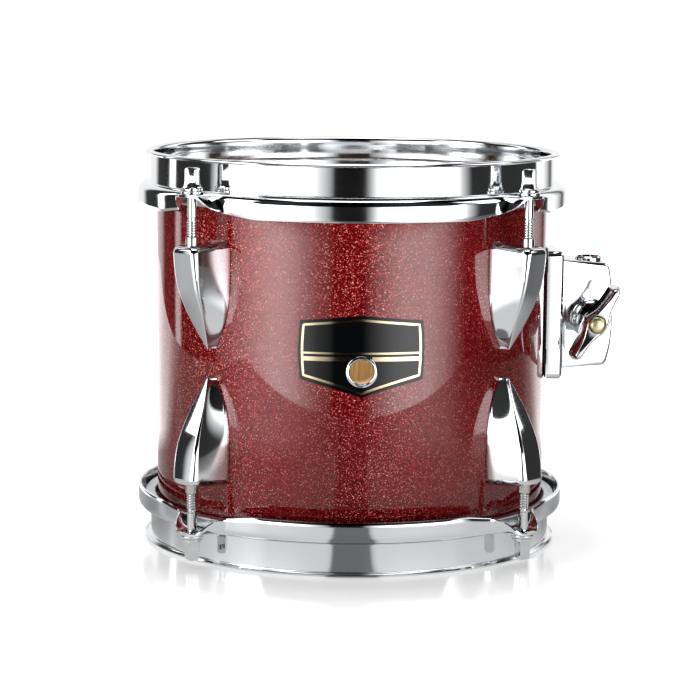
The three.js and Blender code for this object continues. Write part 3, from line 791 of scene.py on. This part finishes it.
def pathOf(points, step=1.0):
    path = []
    for (x0, z0), (x1, z1) in zip(points, points[1:]):
        count = max(int(math.hypot(x1 - x0, z1 - z0) / step), 1)
        path += [(x0 + (x1 - x0) * k / count, z0 + (z1 - z0) * k / count) for k in range(count)]
    return path + [points[-1]]


def badgeOutline(inset):
    low, high = badgeEdges(1, inset)
    shares = [-1 + 2 * k / 24 for k in range(25)]
    heights = [high + (low - high) * k / 12 for k in range(1, 12)]
    outline = [badgePoint(share, badgeEdges(share, inset)[1], inset) for share in shares]
    outline += [badgePoint(1, z, inset) for z in heights]
    outline += [badgePoint(share, badgeEdges(share, inset)[0], inset) for share in reversed(shares)]
    outline += [badgePoint(-1, z, inset) for z in reversed(heights)]
    return outline + [outline[0]]


def makeBadge():
    place = localFrame(0)
    shares = [-1 + 2 * k / 60 for k in range(61)]
    plate = badgeSheet(shares, badgeEdges, badge["inner"], badge["outer"])
    piece = addPiece("badge_plate", *plate, blackEnamel, "drum", "badge_enamel", ["badge"], place)
    cutBy(piece, hole(shell["ventRadius"], 95, 106, 0))
    face, rise = badge["outer"], badge["lineRise"]
    parts = [strip(badgeOutline(badge["lineInset"]), badge["lineWidth"], face, rise)]
    reach = badge["halfWidth"] - badge["lineInset"] - 0.2
    height, width = badge["stripe"]
    parts.append(strip(pathOf([(-reach, height), (reach, height)]), width, face, rise))
    height, width = badge["split"]
    start = math.sqrt((vent["flange"] + 0.2) ** 2 - height ** 2)
    for side in (-1, 1):
        parts.append(strip(pathOf([(start * side, height), (reach * side, height)]), width, face, rise))
    addPiece("badge_lines", *merged(*parts), paleGold, "drum", "badge_enamel", (), place)
    bore, flange, face = vent["bore"], vent["flange"], vent["face"]
    tube, inside, seat = vent["tube"], vent["inside"], vent["seat"]
    section = roundCorners([(bore, inside), (tube, inside), (tube, seat), (flange, seat + 0.05),
                            (flange, face - 0.5), (flange - 0.9, face), (bore + 0.6, face),
                            (bore, face - 0.7)], 0.3, 3)
    addPiece("vent_eyelet", *turned(section, 64, "X"), chrome, "drum", "chrome", ["vent_grommet"], place)
    ring = ringSection(ventRing, 0.4)
    addPiece("vent_inner_ring", *turned(ring, 64, "X"), zinc, "drum", "zinc_steel",
             ["vent_backing_ring"], place)
    print("badge and vent done")


plate = dict(halfWidth=18.0, bottom=-16.75, top=50.25, face=109.5, back=96, corner=3.2, seat=102.6)
# bevel gives shares of the half width, and how far the side outline shrinks at each
block = dict(halfWidth=14.5, draft=0.098, height=14.75, middle=(122, 17), fullness=0.25,
             bevel=((-1, 1.5), (-0.985, 0.75), (-0.955, 0.3), (-0.9, 0.0), (0.9, 0.0), (0.955, 0.3),
                    (0.985, 0.75), (1, 1.5)))
socket = dict(r=124.3, radius=5.3, boss=7.0, bossTop=46.25)
pad = dict(radius=10.4, face=14.6)
clampScrew = dict(angle=6.0, heights=(-7.25, 40.75), head=4.5, top=88.8, seat=91.8, shank=2.3, end=111.5)


def screwPlaces():
    return [(turn, height) for turn in (-clampScrew["angle"], clampScrew["angle"])
            for height in clampScrew["heights"]]


def onClampAxis(part):
    # shapes made round Z, laid along -Y at the clamp's height
    vertices, faces = part
    return [(x + socket["r"], -z, y + block["height"]) for x, y, z in vertices], faces


def curvedPlate(inner, outer, bottom, top, halfAngle, corner, edge=0.25):
    # a plate bent to the shell, with rounded corners in its flat outline and eased edges
    width = math.radians(halfAngle) * outer
    middleZ, halfZ = (bottom + top) / 2, (top - bottom) / 2
    rings = []
    for depth, inset in ((inner, edge), (inner + edge, 0), (outer - edge, 0), (outer, edge)):
        w, h = width - inset, halfZ - inset
        outline = roundCorners([(w, -h), (w, h), (-w, h), (-w, -h)], corner, 6)
        dense = []
        for i, (x, z) in enumerate(outline):
            nx, nz = outline[(i + 1) % len(outline)]
            count = 16 if abs(nx - x) > 5 else 1
            dense += [(x + (nx - x) * k / count, z + (nz - z) * k / count) for k in range(count)]
        rings.append([(depth * math.cos(x / outer), depth * math.sin(x / outer), middleZ + z)
                      for x, z in dense])
    return rings


def blockSide():
    # side view of the block: distance from the axis, height; the outer end is gently crowned
    outline = [(101, -11.75), (131.9, -9.9), (133.3, -8.0), (135.3, 0), (136, 9), (136, 21),
               (135.3, 33), (134.0, 41.2), (132.4, 43.6), (101, 46.1)]
    return roundCorners(outline, [0, 1.2, 1.0, 6, 6, 6, 6, 1.6, 1.6, 0], 5)


def towards(value, target, step):
    gap = value - target
    return value - math.copysign(min(step, abs(gap)), gap)


def blockRing(share, bevel):
    ring = []
    middleX, middleZ = block["middle"]
    for x, z in blockSide():
        half = block["halfWidth"] + block["fullness"] - (x - plate["face"]) * block["draft"]
        shrink = 0 if x < 103 else bevel    # the hidden root stays square
        ring.append((towards(x, middleX, shrink), share * half, towards(z, middleZ, shrink)))
    return ring


def makeClampBody():
    place = localFrame(90)
    # the plate: bevelled all round, sitting on the gasket
    h, b, t = plate["halfWidth"], plate["bottom"], plate["top"]
    middleZ, face = (b + t) / 2, plate["face"]
    rings = []
    for x, inset in ((plate["back"], 0), (face - 1.9, 0), (face - 1.3, 0.12), (face - 0.35, 0.95),
                     (face - 0.08, 1.35), (face, 1.8)):
        outline = roundCorners([(h - inset, b + inset - middleZ), (h - inset, t - inset - middleZ),
                                (inset - h, t - inset - middleZ), (inset - h, b + inset - middleZ)],
                               plate["corner"], 6)
        rings.append([(x, y, z + middleZ) for y, z in outline])
    piece = addPiece("clamp_body_cast", *loft(rings), castChrome, "drum", "clamp_chrome",
                     ["rod_clamp_body"], place)
    body = loft([blockRing(share, bevel) for share, bevel in block["bevel"]])
    radius, r, top = socket["radius"], socket["r"], socket["bossTop"]
    boss = moved(turned([(0, 38), (socket["boss"], 38), (socket["boss"], top - 0.65),
                         (socket["boss"] - 0.7, top), (0, top)], 48), x=r)
    padPart = onClampAxis(turned([(0, 6), (pad["radius"], 6), (pad["radius"], pad["face"] - 0.6),
                                  (pad["radius"] - 0.6, pad["face"]), (0, pad["face"])], 64))
    for part in (body, boss, padPart):
        uniteWith(piece, part, place)
    seat = roundBar(plate["seat"], -60, 60, shell["steps"])
    bore = moved(turned([(0, -30), (radius + 0.6, -30), (radius, -9), (radius, 44), (radius + 0.9, 47),
                         (radius + 0.9, 60), (0, 60)], 48), x=r)
    boltHole = onClampAxis(roundBar(bolt["radius"] + 0.5, 0, 30, 32))
    reach = bolt["eyeHalf"] + 0.5
    pocket = roundBar(bolt["eyeOuter"] + 0.6, block["height"] - reach, block["height"] + reach, 32)
    drawn = -2.4    # the pocket is long enough for the eye to move in
    cutters = [(*seat, place), (*bore, place), (*boltHole, place), (*moved(pocket, x=r), place),
               (*moved(pocket, x=r, y=drawn), place)]
    for turn, height in screwPlaces():
        cutters.append(hole(shell["screwRadius"], 85, 112.7, 90 + turn, height, 16))
    cutBy(piece, *cutters)
    print("clamp body done")


wing = dict(web=28.5, front=38.5, halfSpan=20.2, halfWidth=4.9, tip=1.9, tilt=59.5, draft=2.2, hub=7.2,
            bow=0.25)


def wingRing(depth, grow, inset=0.0):
    # the two wings and the swell at the hub, seen from the front
    reach = wing["halfSpan"] - wing["tip"]
    side = wing["tip"] + grow - inset
    swell = wing["halfWidth"] + grow - inset
    points = []
    for end in (1, -1):
        for k in range(9):
            a = -math.pi / 2 + math.pi * k / 8
            points.append((end * (reach + side * math.cos(a)), end * side * math.sin(a)))
        for k in range(1, 12):
            t = k / 12
            x = reach * (1 - 2 * t)
            flare = math.exp(-(x / wing["hub"]) ** 2)
            y = side + (swell - side) * flare + wing["bow"] * math.sin(math.pi * t)
            points.append((end * x, end * y))
    tilt = math.radians(wing["tilt"])
    return [(x * math.cos(tilt) - y * math.sin(tilt), x * math.sin(tilt) + y * math.cos(tilt), depth)
            for x, y in points]


gasket = dict(inner=101.3, outer=102.3, inset=0.6, halfAngle=9.7, corner=3.5)
backing = dict(inner=92.1, outer=94.1, bottom=-13, top=46.5, halfAngle=10.5, corner=3)
clampWasher = dict(bore=4.5, outer=10, bottom=14.7, top=16.2)
bolt = dict(radius=3.95, end=40.0, eyeOuter=9.0, eyeBore=5.5, eyeHalf=4.0, start=7.4, threadFrom=17.5,
            pitch=1.25, threadDepth=0.47)


def makeClampSheets():
    place = localFrame(90)
    sheet = loft(curvedPlate(gasket["inner"], gasket["outer"], plate["bottom"] + gasket["inset"],
                             plate["top"] - gasket["inset"], gasket["halfAngle"], gasket["corner"]))
    back = loft(curvedPlate(backing["inner"], backing["outer"], backing["bottom"], backing["top"],
                            backing["halfAngle"], backing["corner"]))
    holes = [hole(shell["screwRadius"], 85, 106, 90 + turn, height, 16) for turn, height in screwPlaces()]
    piece = addPiece("clamp_gasket_sheet", *sheet, rubber, "drum", "gasket_rubber", ["clamp_gasket"], place)
    cutBy(piece, *holes)
    piece = addPiece("clamp_backing_pressed", *back, zinc, "drum", "zinc_steel", ["clamp_backing_plate"],
                     place)
    cutBy(piece, *holes)


def makeClampScrews():
    head, top, seat, shank = clampScrew["head"], clampScrew["top"], clampScrew["seat"], clampScrew["shank"]
    profile = [(0, top), (2.2, top + 0.05), (3.6, top + 0.5), (head - 0.2, top + 1.5), (head, seat - 0.4),
               (head - 0.1, seat), (shank, seat), (shank, clampScrew["end"]), (0, clampScrew["end"])]
    for i, (turn, height) in enumerate(screwPlaces()):
        place = localFrame(90 + turn)
        screw = moved(turned(profile, 32, "X"), z=height)
        piece = addPiece(f"clamp_screw_{i + 1}_panhead", *screw, zinc, "drum", "zinc_steel",
                         [f"clamp_screw_{i + 1}"], place)
        cutBy(piece, *crossCutters(top - 1.3, top + 1.6, height, place))


def makeEyeBolt():
    eye = roundCorners([(bolt["eyeBore"], -bolt["eyeHalf"]), (bolt["eyeOuter"], -bolt["eyeHalf"]),
                        (bolt["eyeOuter"], bolt["eyeHalf"]), (bolt["eyeBore"], bolt["eyeHalf"])], 0.8, 3)
    ring = moved(turned(eye, 48), x=socket["r"], z=block["height"])
    r, start, end = bolt["radius"], bolt["start"], bolt["end"]
    core = [(0, start), (r - 0.45, start), (r - 0.45, end - 1.8), (r - 0.3, end - 1.5), (r, end - 1.5),
            (r, end - 1.0), (r - 0.5, end - 0.45), (r - 1.6, end - 0.1), (0, end)]
    ridge = threadPart(r, r - bolt["threadDepth"], bolt["threadFrom"], end - 1.6, bolt["pitch"], 24)
    shank = onClampAxis(merged(turned(core, 40), ridge))
    addPiece("eye_bolt_forged", *merged(ring, shank), yellowZinc, "eye_bolt", "bolt_brass",
             ["clamp_eye_bolt"], localFrame(90))


def makeWingNut():
    place = localFrame(90)
    draft, web, front = wing["draft"], wing["web"], wing["front"]
    wings = loft([wingRing(front, 0.0, 0.8), wingRing(front - 0.22, 0.03, 0.32), wingRing(front - 0.75, 0.1),
                  wingRing((front + web) / 2, draft * 0.5), wingRing(web + 0.5, draft * 0.95),
                  wingRing(web, draft, 0.5)])
    hub = turned([(0, 16.4), (10, 16.4), (10.05, 17.4), (9.7, 18.0), (8.7, 19.2), (8.2, 20.6), (7.7, 23.5),
                  (7.2, 27), (7.0, 31), (0, 31)], 48)
    nut = addPiece("wing_nut_cast", *onClampAxis(wings), castChrome, "wing_nut", "clamp_chrome",
                   ["clamp_wing_nut"], place)
    uniteWith(nut, onClampAxis(hub), place)
    bore = turned([(0, 10), (4.4, 10), (4.4, 37.6), (5.0, 38.7), (5.0, 45), (0, 45)], 32)
    cutBy(nut, (*onClampAxis(bore), place))


def makeClampParts():
    makeClampSheets()
    makeClampScrews()
    addPiece("clamp_washer_round", *onClampAxis(turned(ringSection(clampWasher), 64)), chrome, "drum",
             "clamp_chrome", ["clamp_washer"], localFrame(90))
    makeEyeBolt()
    makeWingNut()
    print("clamp parts done")


# Brightness round the drum by compass angle: degrees from the front (+ towards the clamp) against a value
# where plain white is 1.
def glowByAngle(tree, x, y, stops, strength):
    towards = addNode(tree, "ShaderNodeMath", {"operation": "MULTIPLY", 1: -1.0}, {0: y})
    swing = addNode(tree, "ShaderNodeMath", {"operation": "ARCTAN2"}, {0: x, 1: towards.outputs["Value"]})
    share = addNode(tree, "ShaderNodeMapRange", {"From Min": -math.pi, "From Max": math.pi},
                    {"Value": swing.outputs["Value"]})
    return rampNode(tree, share.outputs["Result"],
                    [((angle + 180) / 360, grey(value / strength)) for angle, value in stops])


# Glossy white table, with a painted glow. Seen by the camera it is white with a soft mirror of the hoop close
# by; in the chrome and the covering it shows as a painted sheet, paler or darker where it stands in for how
# far the soft boxes light each part of it and for their reflection in the gloss, with a painted dark strip
# straight in front.
# mirror and hidden: distances from the axis in mm over which the painted glow seen by the camera grows, and
# its strength near the drum and far out
table = dict(side=0.75, front=-0.40, back=1.6, below=0.05, strength=2.0, edge=(250.0, 320.0),
             mirror=(125.0, 260.0), hidden=(0.37, 1.05), paintedNearGlow=(
    (-158, 0.45), (-100, 0.25), (-60, 0.6), (-10, 0.72), (-8.5, 0.15), (4.5, 0.15), (6, 0.72), (60, 0.6),
    (100, 0.25), (158, 0.45)), glow=(
    (-180, 0.9), (-152, 1.7), (-132, 1.9), (-118, 0.3), (-100, 0.45), (-84, 0.5), (-73, 0.45), (-64, 0.9),
    (-56, 1.25), (-44, 1.6), (-36, 1.5), (-26, 1.0), (-19, 0.6), (-12, 0.3), (-6, 0.12), (3, 0.12), (10, 0.3),
    (16, 0.7), (24, 1.1), (31, 1.3), (38, 1.35), (46, 1.15), (53, 0.6), (61, 0.2), (70, 0.08), (110, 0.2),
    (120, 0.5), (132, 1.9), (152, 1.7)))


def makeTableMaterial():
    material, tree, shader = newMaterial("acrylic sheet, white gloss")
    place = objectMillimetres(tree)
    haze = addNode(tree, "ShaderNodeTexNoise", {"Scale": 1 / 60, "Detail": 3.0}, {"Vector": place})
    rough = rampNode(tree, haze.outputs["Fac"], [(0.3, grey(0.09)), (0.8, grey(0.13))])
    shader.inputs["Base Color"].default_value = hexColour("E6E6E6")
    # the sheet glows white on its own: a painted light, with its strength set by distance from the drum below
    shader.inputs["Emission Color"].default_value = grey(1.0)
    tree.links.new(rough, shader.inputs["Roughness"])
    apart = addNode(tree, "ShaderNodeSeparateXYZ", links={"Vector": place})
    # painted glow by angle, close to the drum and further out, with a painted dark strip straight in front
    wide = glowByAngle(tree, apart.outputs["X"], apart.outputs["Y"], table["glow"], table["strength"])
    paintedNearColour = glowByAngle(tree, apart.outputs["X"], apart.outputs["Y"], table["paintedNearGlow"], table["strength"])
    flat = addNode(tree, "ShaderNodeVectorMath", {"operation": "MULTIPLY", 1: (1, 1, 0)}, {0: place})
    far = addNode(tree, "ShaderNodeVectorMath", {"operation": "LENGTH"}, {0: flat.outputs["Vector"]})
    start, end = table["edge"]
    away = addNode(tree, "ShaderNodeMapRange", {"From Min": start, "From Max": end},
                   {"Value": far.outputs["Value"]})
    paintedGlowColour = addNode(tree, "ShaderNodeMix", {"data_type": "RGBA"}, {"Factor": away.outputs["Result"]})
    tree.links.new(paintedNearColour, paintedGlowColour.inputs["A"])
    tree.links.new(wide, paintedGlowColour.inputs["B"])
    # painted glow, weaker near the drum as painted shade: the drum's mirror image in the sheet fades out in
    # front of it
    (start, end), (clear, white) = table["mirror"], table["hidden"]
    fade = addNode(tree, "ShaderNodeMapRange", {"From Min": start, "From Max": end, "To Min": clear,
                   "To Max": white}, {"Value": far.outputs["Value"]})
    tree.links.new(fade.outputs["Result"], shader.inputs["Emission Strength"])
    # seen only in reflections and by the light it sends out: a painted glow standing in for the soft boxes'
    # light on the sheet
    paintedGlowShader = addNode(tree, "ShaderNodeBsdfPrincipled", {
        "Base Color": hexColour("303030"), "Roughness": 0.4, "Specular IOR Level": 0.1},
        {"Emission Color": paintedGlowColour.outputs["Result"]})
    paintedGlowShader.inputs["Emission Strength"].default_value = table["strength"]
    path = addNode(tree, "ShaderNodeLightPath")
    both = addNode(tree, "ShaderNodeMixShader", None, {0: path.outputs["Is Camera Ray"],
                   1: paintedGlowShader.outputs["BSDF"], 2: shader.outputs["BSDF"]})
    tree.links.new(both.outputs["Shader"], tree.nodes["Material Output"].inputs["Surface"])
    return material


def makeTable():
    side, front, back = table["side"], table["front"], table["back"]
    mesh = bpy.data.meshes.new("table_top")
    ground = -mm(table["below"])
    corners = [(-side, front, ground), (side, front, ground), (side, back, ground), (-side, back, ground)]
    mesh.from_pydata(corners, [], [(0, 1, 2, 3)])
    top = bpy.data.objects.new("table_top", mesh)
    bpy.context.scene.collection.objects.link(top)
    top.data.materials.append(makeTableMaterial())


# Angle round from the front, + towards the clamp, against brightness, where plain white is 1.
studio = dict(strength=6.2, white=1.05, ceiling=0.006, soft=0.03, depth=(-0.62, -0.25),
              height=(0.16, 0.72), glow=(
    (-153, 1.0), (-146, 0.05), (-130, 0.03), (-127.5, 3.0), (-123.5, 3.0), (-121, 0.03), (-90, 0.03),
    (-86, 0.8), (-80, 1.1), (-72, 2.1), (-61, 4.2), (-50, 6.0), (-44, 6.0), (-37, 5.0), (-30, 2.9),
    (-22, 1.1), (-14.5, 0.4), (-13, 0.01), (4, 0.01), (7, 0.5), (14, 2.0), (22, 3.9), (30, 5.0), (43, 5.0),
    (53, 2.9), (61, 0.8), (67, 0.03), (124, 0.04), (126, 1.6), (131, 1.6), (150, 0.05), (158, 1.0)))


# The studio round the drum, as a glow by direction: a white backdrop behind, dark towards the front, with a
# soft box on each side of the front and a narrow strip further round. The camera itself sees plain white.
def makeStudio():
    world = bpy.data.worlds.new("studio")
    bpy.context.scene.world = world
    world.use_nodes = True
    tree = world.node_tree
    tree.nodes.clear()
    coords = addNode(tree, "ShaderNodeTexCoord")
    split = addNode(tree, "ShaderNodeSeparateXYZ", links={"Vector": coords.outputs["Generated"]})
    bright = glowByAngle(tree, split.outputs["X"], split.outputs["Y"], studio["glow"], studio["strength"])
    # the boxes in front are low, those at the sides are tall, and the ceiling is dark
    (front, side), (low, tall), soft = studio["depth"], studio["height"], studio["soft"]
    limit = addNode(tree, "ShaderNodeMapRange", {"From Min": front, "From Max": side, "To Min": low,
                    "To Max": tall}, {"Value": split.outputs["Y"]})
    under = addNode(tree, "ShaderNodeMath", {"operation": "SUBTRACT"},
                    {0: limit.outputs["Result"], 1: split.outputs["Z"]})
    edge = addNode(tree, "ShaderNodeMapRange", {"From Min": -soft, "From Max": soft},
                   {"Value": under.outputs["Value"]})
    ceiling = rampNode(tree, edge.outputs["Result"], [(0.0, grey(studio["ceiling"])), (1.0, grey(1.0))])
    sky = addNode(tree, "ShaderNodeMix", {"data_type": "RGBA", "blend_type": "MULTIPLY", "Factor": 1.0})
    tree.links.new(bright, sky.inputs["A"])
    tree.links.new(ceiling, sky.inputs["B"])
    glow = addNode(tree, "ShaderNodeBackground", {"Strength": studio["strength"]},
                   {"Color": sky.outputs["Result"]})
    white = addNode(tree, "ShaderNodeBackground", {"Color": grey(1.0), "Strength": studio["white"]})
    path = addNode(tree, "ShaderNodeLightPath")
    seen = addNode(tree, "ShaderNodeMixShader", None, {0: path.outputs["Is Camera Ray"],
                   1: glow.outputs["Background"], 2: white.outputs["Background"]})
    addNode(tree, "ShaderNodeOutputWorld", links={"Surface": seen.outputs["Shader"]})


# name, place, what it points at, size and watts; the inside one shows the pale ply through the vent
lamps = (("overhead", (0, 0.1, 1.5), (0, 0, 0), (1.0, 1.0), 10),
         ("side_left", (-1.25, -0.2, 0.95), (0, 0, 0.1), (0.7, 0.8), 4),
         ("inside", (0, 0, 0.16), (0, 0.094, 0.065), (0.05, 0.05), 0.15),
         ("side_right", (1.25, -0.2, 0.95), (0, 0, 0.1), (0.7, 0.8), 4))


def addLamp(name, place, target, size, power):
    data = bpy.data.lights.new(name, "AREA")
    data.shape = "RECTANGLE"
    data.size, data.size_y = size
    data.energy = power
    lamp = bpy.data.objects.new(name, data)
    lamp.location = place
    lamp.visible_camera = False
    lamp.visible_transmission = False    # or it would show through the clear head
    lamp.rotation_euler = (Vector(target) - Vector(place)).to_track_quat("-Z", "Y").to_euler()
    bpy.context.scene.collection.objects.link(lamp)


view = dict(place=(-0.0723, -1.3466, 0.2930), turn=-3.058, down=8.26, roll=0.533, lens=133.5, sensor=36)


def makeCamera():
    data = bpy.data.cameras.new("front")
    data.lens = view["lens"]
    data.sensor_width = view["sensor"]
    camera = bpy.data.objects.new("front", data)
    turn = Matrix.Rotation(math.radians(view["turn"]), 4, "Z")
    pitch = Matrix.Rotation(math.radians(90 - view["down"]), 4, "X")
    roll = Matrix.Rotation(math.radians(view["roll"]), 4, "Z")
    camera.matrix_world = Matrix.Translation(view["place"]) @ turn @ pitch @ roll
    bpy.context.scene.collection.objects.link(camera)
    bpy.context.scene.camera = camera


makeShell()
makeWrap()
makeHeads()
makeHoops()
makeTuning()
makeBadge()
makeClampBody()
makeClampParts()
makeTable()
makeStudio()
for lamp in lamps:
    addLamp(*lamp)
makeCamera()
bpy.context.scene.view_settings.view_transform = "Standard"
print("table, studio and camera done")
